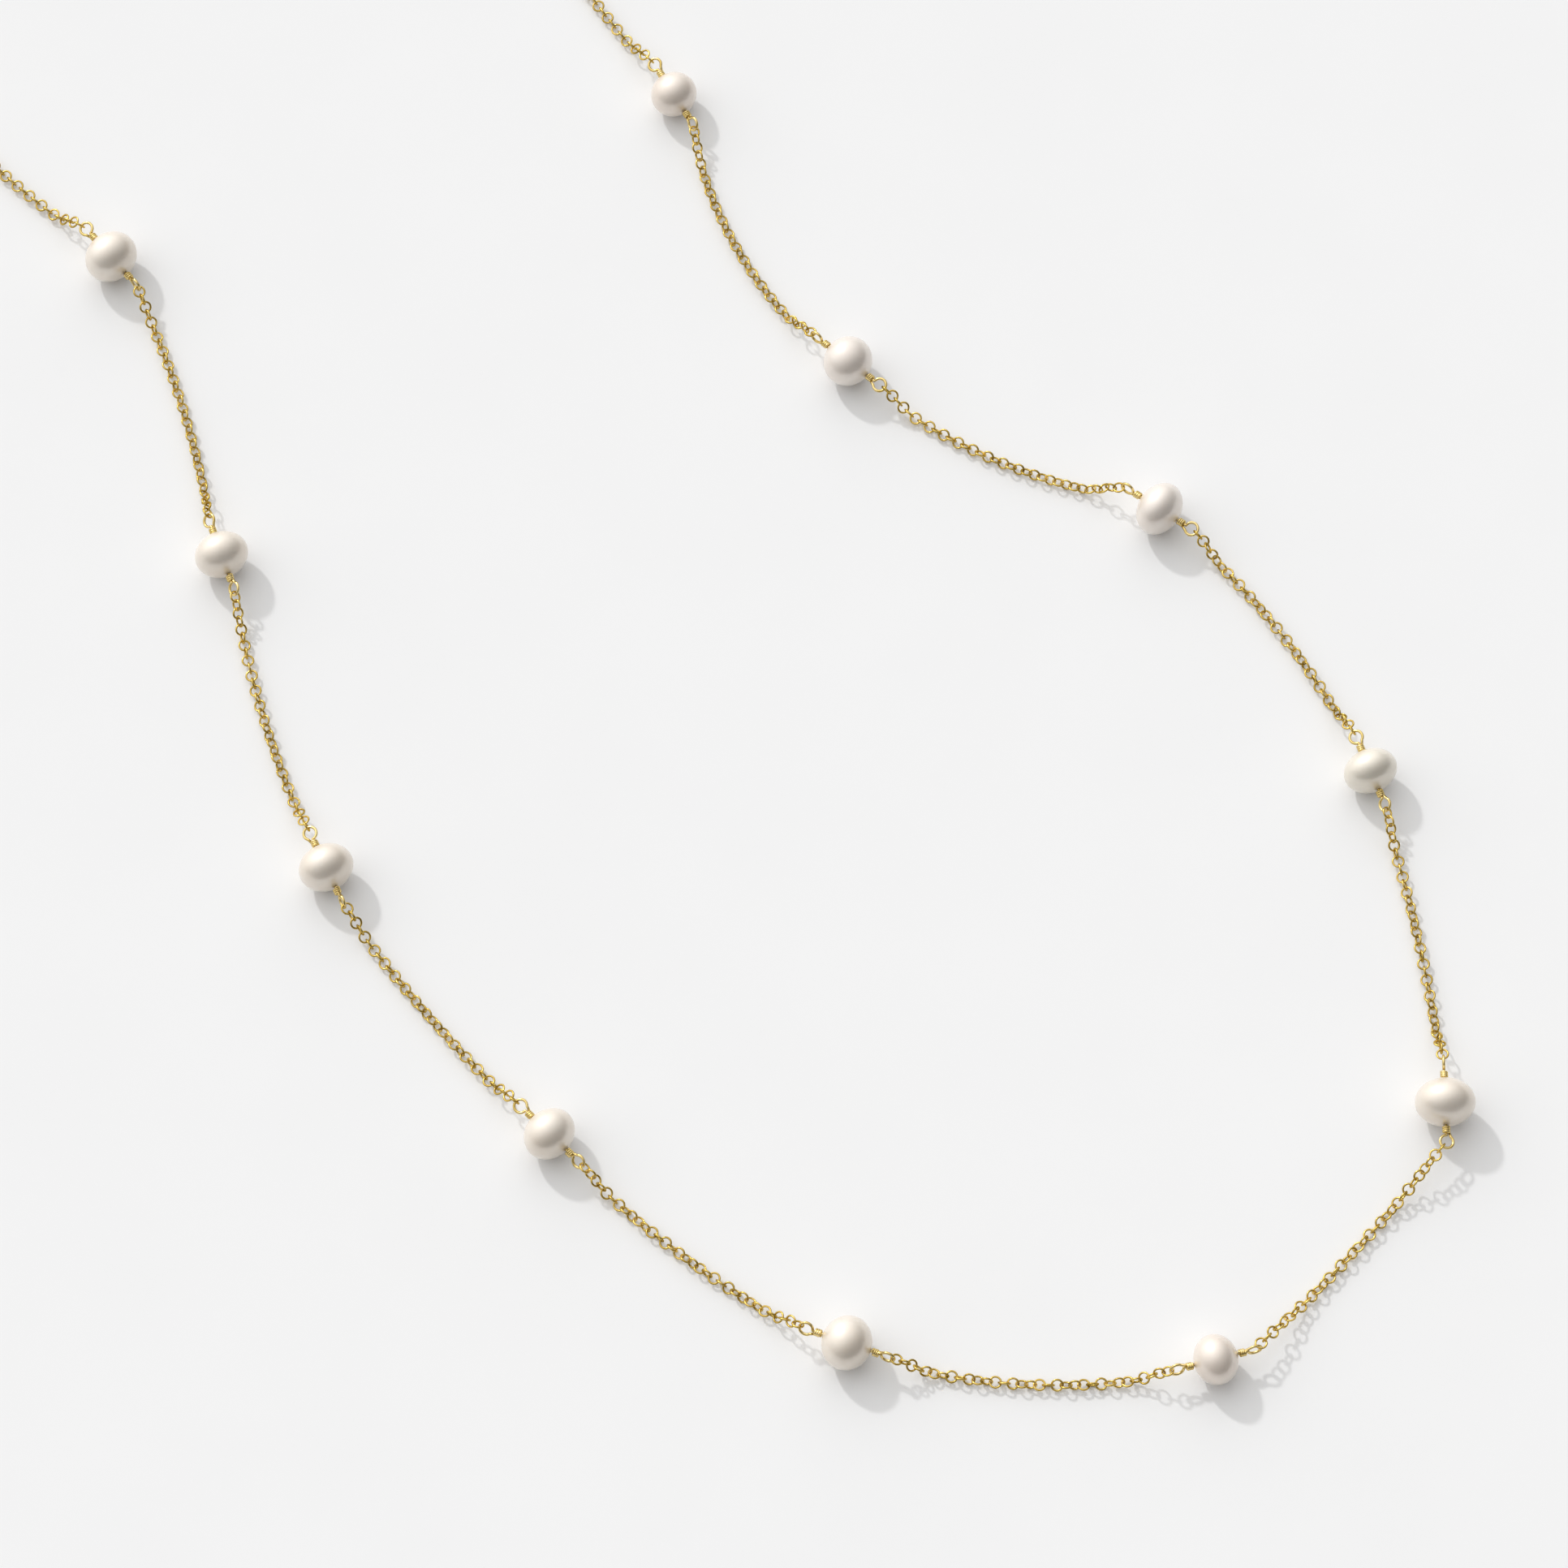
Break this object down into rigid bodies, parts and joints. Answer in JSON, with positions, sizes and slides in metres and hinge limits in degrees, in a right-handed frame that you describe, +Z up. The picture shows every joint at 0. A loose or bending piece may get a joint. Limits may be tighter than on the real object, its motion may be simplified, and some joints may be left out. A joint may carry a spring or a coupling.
{
  "type": "pearl necklace",
  "caption": "Station necklace of drilled pearls on wrapped gold wires, joined by fine round-link chain, lying open on a table with a spring-ring clasp and an end tab.",
  "frame": {"origin": "centre of the bounding box, on the surface that the necklace lies on", "axes": "+Z up from that surface, +Y from the bottom of the U towards its two open ends, +X to the side of the tab's strand"},
  "size_m": [0.1698, 0.1776, 0.0062],
  "materials": {
    "pearl_nacre": "satin white nacre with a soft cream and pink lustre",
    "wrapped_wire_gold": "polished yellow gold wire",
    "chain_gold": "polished yellow gold",
    "clasp_gold": "polished yellow gold",
    "spring_steel": "bright spring wire"
  },
  "bodies": {
    "pearl_01": {"pearl_01": "pearl_nacre"},
    "pearl_02": {"pearl_02": "pearl_nacre"},
    "pearl_03": {"pearl_03": "pearl_nacre"},
    "pearl_04": {"pearl_04": "pearl_nacre"},
    "pearl_05": {"pearl_05": "pearl_nacre"},
    "pearl_06": {"pearl_06": "pearl_nacre"},
    "pearl_07": {"pearl_07": "pearl_nacre"},
    "pearl_08": {"pearl_08": "pearl_nacre"},
    "pearl_09": {"pearl_09": "pearl_nacre"},
    "pearl_10": {"pearl_10": "pearl_nacre"},
    "pearl_11": {"pearl_11": "pearl_nacre"},
    "wire_01": {"wire_01": "wrapped_wire_gold"},
    "wire_02": {"wire_02": "wrapped_wire_gold"},
    "wire_03": {"wire_03": "wrapped_wire_gold"},
    "wire_04": {"wire_04": "wrapped_wire_gold"},
    "wire_05": {"wire_05": "wrapped_wire_gold"},
    "wire_06": {"wire_06": "wrapped_wire_gold"},
    "wire_07": {"wire_07": "wrapped_wire_gold"},
    "wire_08": {"wire_08": "wrapped_wire_gold"},
    "wire_09": {"wire_09": "wrapped_wire_gold"},
    "wire_10": {"wire_10": "wrapped_wire_gold"},
    "wire_11": {"wire_11": "wrapped_wire_gold"},
    "chain_01_a": {"chain_01_a": "chain_gold"},
    "chain_01_b": {"chain_01_b": "chain_gold"},
    "chain_02_a": {"chain_02_a": "chain_gold"},
    "chain_02_b": {"chain_02_b": "chain_gold"},
    "chain_03_a": {"chain_03_a": "chain_gold"},
    "chain_03_b": {"chain_03_b": "chain_gold"},
    "chain_04_a": {"chain_04_a": "chain_gold"},
    "chain_04_b": {"chain_04_b": "chain_gold"},
    "chain_05_a": {"chain_05_a": "chain_gold"},
    "chain_05_b": {"chain_05_b": "chain_gold"},
    "chain_06_a": {"chain_06_a": "chain_gold"},
    "chain_06_b": {"chain_06_b": "chain_gold"},
    "chain_07_a": {"chain_07_a": "chain_gold"},
    "chain_07_b": {"chain_07_b": "chain_gold"},
    "chain_08_a": {"chain_08_a": "chain_gold"},
    "chain_08_b": {"chain_08_b": "chain_gold"},
    "chain_09_a": {"chain_09_a": "chain_gold"},
    "chain_09_b": {"chain_09_b": "chain_gold"},
    "chain_10_a": {"chain_10_a": "chain_gold"},
    "chain_10_b": {"chain_10_b": "chain_gold"},
    "left_end_chain_a": {"left_end_chain_a": "chain_gold"},
    "left_end_chain_b": {"left_end_chain_b": "chain_gold"},
    "left_end_chain_c": {"left_end_chain_c": "chain_gold"},
    "left_end_chain_d": {"left_end_chain_d": "chain_gold"},
    "right_end_chain_a": {"right_end_chain_a": "chain_gold"},
    "right_end_chain_b": {"right_end_chain_b": "chain_gold"},
    "right_end_chain_c": {"right_end_chain_c": "chain_gold"},
    "right_end_chain_d": {"right_end_chain_d": "chain_gold"},
    "clasp_jump_ring": {"clasp_jump_ring": "chain_gold"},
    "clasp_gate": {"clasp_gate": "clasp_gold"},
    "tab_jump_ring": {"tab_jump_ring": "chain_gold"},
    "chain_tab": {"chain_tab": "chain_gold"},
    "clasp_case": {"clasp_case": "clasp_gold", "clasp_spring": "spring_steel"}
  },
  "joints": [
    {"name": "chain_06_a_swing", "type": "hinge", "parent": "wire_06", "child": "chain_06_a", "pos_m": [0.0627, -0.0846, 0.00258], "axis": [-0.0804, 0.1653, 0.983], "range_deg": [-65, 10]},
    {"name": "chain_06_b_swing", "type": "hinge", "parent": "chain_06_a", "child": "chain_06_b", "pos_m": [0.07227, -0.07459, 0.00067], "axis": [-0.5213, 0.4777, -0.7071], "range_deg": [-40, 70]},
    {"name": "wire_07_swing", "type": "hinge", "parent": "chain_06_b", "child": "wire_07", "pos_m": [0.08191, -0.06358, 0.0031], "axis": [0.1736, 0, 0.9848], "range_deg": [-70, 70]},
    {"name": "chain_07_a_swing", "type": "hinge", "parent": "wire_07", "child": "chain_07_a", "pos_m": [0.08183, -0.05422, 0.00303], "axis": [0.1081, -0.2294, -0.9673], "range_deg": [-5, 65]},
    {"name": "chain_07_b_swing", "type": "hinge", "parent": "chain_07_a", "child": "chain_07_b", "pos_m": [0.08005, -0.04099, 0.00067], "axis": [-0.9392, -0.1656, 0.3007], "range_deg": [-70, 70]},
    {"name": "wire_08_swing", "type": "hinge", "parent": "chain_07_b", "child": "wire_08", "pos_m": [0.07716, -0.0278, 0.00279], "axis": [-0.6633, -0.0065, -0.7483], "range_deg": [-65, 65]},
    {"name": "chain_08_a_swing", "type": "hinge", "parent": "wire_08", "child": "chain_08_a", "pos_m": [0.07421, -0.01944, 0.00285], "axis": [-0.3214, -0.117, 0.9397], "range_deg": [-70, 70]},
    {"name": "chain_08_b_swing", "type": "hinge", "parent": "chain_08_a", "child": "chain_08_b", "pos_m": [0.06701, -0.00695, 0.00067], "axis": [-0.7812, -0.547, -0.3007], "range_deg": [-70, 70]},
    {"name": "wire_09_swing", "type": "hinge", "parent": "chain_08_b", "child": "wire_09", "pos_m": [0.05775, 0.00406, 0.0029], "axis": [-0.1484, -0.212, 0.9659], "range_deg": [-70, 70]},
    {"name": "chain_09_a_swing", "type": "hinge", "parent": "wire_09", "child": "chain_09_a", "pos_m": [0.05026, 0.00884, 0.00284], "axis": [0.1805, -0.2098, -0.9609], "range_deg": [-65, 65]},
    {"name": "chain_09_b_swing", "type": "hinge", "parent": "chain_09_a", "child": "chain_09_b", "pos_m": [0.03667, 0.01336, 0.00067], "axis": [-0.3115, -0.6412, 0.7013], "range_deg": [-70, 70]},
    {"name": "wire_10_swing", "type": "hinge", "parent": "chain_09_b", "child": "wire_10", "pos_m": [0.02527, 0.02078, 0.0027], "axis": [0.1664, 0.1983, -0.9659], "range_deg": [-70, 70]},
    {"name": "chain_10_a_swing", "type": "hinge", "parent": "wire_10", "child": "chain_10_a", "pos_m": [0.018, 0.02699, 0.00264], "axis": [-0.0133, 0.2613, 0.9652], "range_deg": [-65, 65]},
    {"name": "chain_10_b_swing", "type": "hinge", "parent": "chain_10_a", "child": "chain_10_b", "pos_m": [0.00968, 0.03876, 0.00067], "axis": [0.838, 0.4167, -0.3523], "range_deg": [-70, 70]},
    {"name": "wire_11_swing", "type": "hinge", "parent": "chain_10_b", "child": "wire_11", "pos_m": [0.0056, 0.05085, 0.00245], "axis": [0.5198, -0.0611, 0.8521], "range_deg": [-65, 65]},
    {"name": "right_end_chain_a_swing", "type": "hinge", "parent": "wire_11", "child": "right_end_chain_a", "pos_m": [0.00132, 0.0589, 0.0025], "axis": [0.2962, 0.171, -0.9397], "range_deg": [-70, 70]},
    {"name": "right_end_chain_b_swing", "type": "hinge", "parent": "right_end_chain_a", "child": "right_end_chain_b", "pos_m": [-0.00336, 0.06486, 0.00067], "axis": [0.7819, 0.5684, 0.2561], "range_deg": [-70, 70]},
    {"name": "right_end_chain_c_swing", "type": "hinge", "parent": "right_end_chain_b", "child": "right_end_chain_c", "pos_m": [-0.00731, 0.07069, 0.00067], "axis": [-0.8335, -0.5262, -0.1681], "range_deg": [-70, 70]},
    {"name": "right_end_chain_d_swing", "type": "hinge", "parent": "right_end_chain_c", "child": "right_end_chain_d", "pos_m": [-0.01087, 0.07676, 0.00067], "axis": [0.876, 0.4759, 0.0788], "range_deg": [-70, 70]},
    {"name": "tab_jump_ring_swing", "type": "hinge", "parent": "right_end_chain_d", "child": "tab_jump_ring", "pos_m": [-0.01365, 0.08225, 0.00067], "axis": [-0.0823, 0.1745, -0.9812], "range_deg": [-65, 65]},
    {"name": "chain_tab_lift", "type": "hinge", "parent": "tab_jump_ring", "child": "chain_tab", "pos_m": [-0.01403, 0.08307, 0.00102], "axis": [-0.9063, -0.4226, 0], "range_deg": [-60, 15]},
    {"name": "chain_05_b_swing", "type": "hinge", "parent": "wire_06", "child": "chain_05_b", "pos_m": [0.05337, -0.0875, 0.00255], "axis": [0.2395, -0.388, -0.89], "range_deg": [-65, 10]},
    {"name": "chain_05_a_swing", "type": "hinge", "parent": "chain_05_b", "child": "chain_05_a", "pos_m": [0.03977, -0.08831, 0.00067], "axis": [-0.041, -0.9388, 0.342], "range_deg": [-70, 70]},
    {"name": "wire_05_swing", "type": "hinge", "parent": "chain_05_a", "child": "wire_05", "pos_m": [0.02641, -0.08634, 0.00274], "axis": [-0.2605, -0.1994, -0.9446], "range_deg": [-65, 65]},
    {"name": "chain_04_b_swing", "type": "hinge", "parent": "wire_05", "child": "chain_04_b", "pos_m": [0.01659, -0.08268, 0.00274], "axis": [0.1853, 0.636, 0.7492], "range_deg": [-65, 65]},
    {"name": "chain_04_a_swing", "type": "hinge", "parent": "chain_04_b", "child": "chain_04_a", "pos_m": [0.00607, -0.07566, 0.00067], "axis": [0.5282, 0.6998, -0.481], "range_deg": [-70, 70]},
    {"name": "wire_04_swing", "type": "hinge", "parent": "chain_04_a", "child": "wire_04", "pos_m": [-0.00483, -0.06624, 0.00274], "axis": [0.5663, 0.3435, 0.7492], "range_deg": [-65, 65]},
    {"name": "chain_03_b_swing", "type": "hinge", "parent": "wire_04", "child": "chain_03_b", "pos_m": [-0.01139, -0.05969, 0.0028], "axis": [0.2418, 0.2418, -0.9397], "range_deg": [-70, 70]},
    {"name": "chain_03_a_swing", "type": "hinge", "parent": "chain_03_b", "child": "chain_03_a", "pos_m": [-0.02116, -0.04903, 0.00067], "axis": [-0.5868, -0.4924, 0.6428], "range_deg": [-70, 70]},
    {"name": "wire_03_swing", "type": "hinge", "parent": "chain_03_a", "child": "wire_03", "pos_m": [-0.02939, -0.03837, 0.00284], "axis": [-0.266, 0.0763, -0.9609], "range_deg": [-65, 65]},
    {"name": "chain_02_b_swing", "type": "hinge", "parent": "wire_03", "child": "chain_02_b", "pos_m": [-0.0334, -0.03014, 0.0029], "axis": [-0.2346, -0.1094, 0.9659], "range_deg": [-70, 70]},
    {"name": "chain_02_a_swing", "type": "hinge", "parent": "chain_02_b", "child": "chain_02_a", "pos_m": [-0.03836, -0.01756, 0.00067], "axis": [-0.7594, -0.2461, -0.6022], "range_deg": [-70, 70]},
    {"name": "wire_02_swing", "type": "hinge", "parent": "chain_02_a", "child": "wire_02", "pos_m": [-0.04189, -0.00363, 0.00279], "axis": [0.6616, -0.0472, 0.7483], "range_deg": [-65, 65]},
    {"name": "chain_01_b_swing", "type": "hinge", "parent": "wire_02", "child": "chain_01_b", "pos_m": [-0.04487, 0.00503, 0.00285], "axis": [0.604, 0.2199, -0.766], "range_deg": [-70, 70]},
    {"name": "chain_01_a_swing", "type": "hinge", "parent": "chain_01_b", "child": "chain_01_a", "pos_m": [-0.04802, 0.0182, 0.00067], "axis": [-0.8369, -0.2566, 0.4834], "range_deg": [-70, 70]},
    {"name": "wire_01_swing", "type": "hinge", "parent": "chain_01_a", "child": "wire_01", "pos_m": [-0.05312, 0.03162, 0.00284], "axis": [-0.1705, 0.1614, -0.9721], "range_deg": [-65, 65]},
    {"name": "left_end_chain_a_swing", "type": "hinge", "parent": "wire_01", "child": "left_end_chain_a", "pos_m": [-0.059, 0.039, 0.0029], "axis": [-0.262, -0.2199, 0.9397], "range_deg": [-70, 70]},
    {"name": "left_end_chain_b_swing", "type": "hinge", "parent": "left_end_chain_a", "child": "left_end_chain_b", "pos_m": [-0.06484, 0.04349, 0.00067], "axis": [-0.6254, -0.7371, -0.2561], "range_deg": [-70, 70]},
    {"name": "left_end_chain_c_swing", "type": "hinge", "parent": "left_end_chain_b", "child": "left_end_chain_c", "pos_m": [-0.07, 0.04827, 0.00067], "axis": [0.7008, 0.6932, 0.1682], "range_deg": [-70, 70]},
    {"name": "left_end_chain_d_swing", "type": "hinge", "parent": "left_end_chain_c", "child": "left_end_chain_d", "pos_m": [-0.07473, 0.05348, 0.00067], "axis": [-0.7671, -0.6366, -0.0788], "range_deg": [-70, 70]},
    {"name": "clasp_jump_ring_swing", "type": "hinge", "parent": "left_end_chain_d", "child": "clasp_jump_ring", "pos_m": [-0.07848, 0.05837, 0.00067], "axis": [0.1115, -0.1574, 0.9812], "range_deg": [-65, 65]},
    {"name": "clasp_case_lift", "type": "hinge", "parent": "clasp_jump_ring", "child": "clasp_case", "pos_m": [-0.07899, 0.05911, 0.00102], "axis": [-0.8191, -0.5736, 0], "range_deg": [-65, 45]},
    {"name": "pearl_01_spin", "type": "hinge", "parent": "wire_01", "child": "pearl_01", "pos_m": [-0.05625, 0.03573, 0.0029], "axis": [0.6428, -0.766, 0], "continuous": true},
    {"name": "pearl_02_spin", "type": "hinge", "parent": "wire_02", "child": "pearl_02", "pos_m": [-0.04346, 0.00116, 0.00285], "axis": [0.342, -0.9397, 0], "continuous": true},
    {"name": "pearl_03_spin", "type": "hinge", "parent": "wire_03", "child": "pearl_03", "pos_m": [-0.03166, -0.03387, 0.0029], "axis": [0.4226, -0.9063, 0], "continuous": true},
    {"name": "pearl_04_spin", "type": "hinge", "parent": "wire_04", "child": "pearl_04", "pos_m": [-0.00844, -0.06264, 0.0028], "axis": [0.7071, -0.7071, 0], "continuous": true},
    {"name": "pearl_05_spin", "type": "hinge", "parent": "wire_05", "child": "pearl_05", "pos_m": [0.02145, -0.08462, 0.0028], "axis": [0.9397, -0.342, 0], "continuous": true},
    {"name": "pearl_06_spin", "type": "hinge", "parent": "wire_06", "child": "pearl_06", "pos_m": [0.05816, -0.0863, 0.0026], "axis": [0.9659, 0.2588, 0], "continuous": true},
    {"name": "pearl_07_spin", "type": "hinge", "parent": "wire_07", "child": "pearl_07", "pos_m": [0.08191, -0.05936, 0.0031], "axis": [0, 1, 0], "continuous": true},
    {"name": "pearl_08_spin", "type": "hinge", "parent": "wire_08", "child": "pearl_08", "pos_m": [0.07556, -0.02317, 0.00285], "axis": [-0.342, 0.9397, 0], "continuous": true},
    {"name": "pearl_09_spin", "type": "hinge", "parent": "wire_09", "child": "pearl_09", "pos_m": [0.05446, 0.00637, 0.0029], "axis": [-0.8191, 0.5736, 0], "continuous": true},
    {"name": "pearl_10_spin", "type": "hinge", "parent": "wire_10", "child": "pearl_10", "pos_m": [0.02196, 0.02355, 0.0027], "axis": [-0.766, 0.6428, 0], "continuous": true},
    {"name": "pearl_11_spin", "type": "hinge", "parent": "wire_11", "child": "pearl_11", "pos_m": [0.00338, 0.05534, 0.0025], "axis": [-0.5, 0.866, 0], "continuous": true},
    {"name": "clasp_gate_slide", "type": "hinge", "parent": "clasp_case", "child": "clasp_gate", "pos_m": [-0.08145, 0.06261, 0.0006], "axis": [0, 0, 1], "range_deg": [0, 70], "stiffness_Nm_per_rad": 0.0005, "springref_deg": -28.65, "deforming": ["clasp_spring"]}
  ]
}
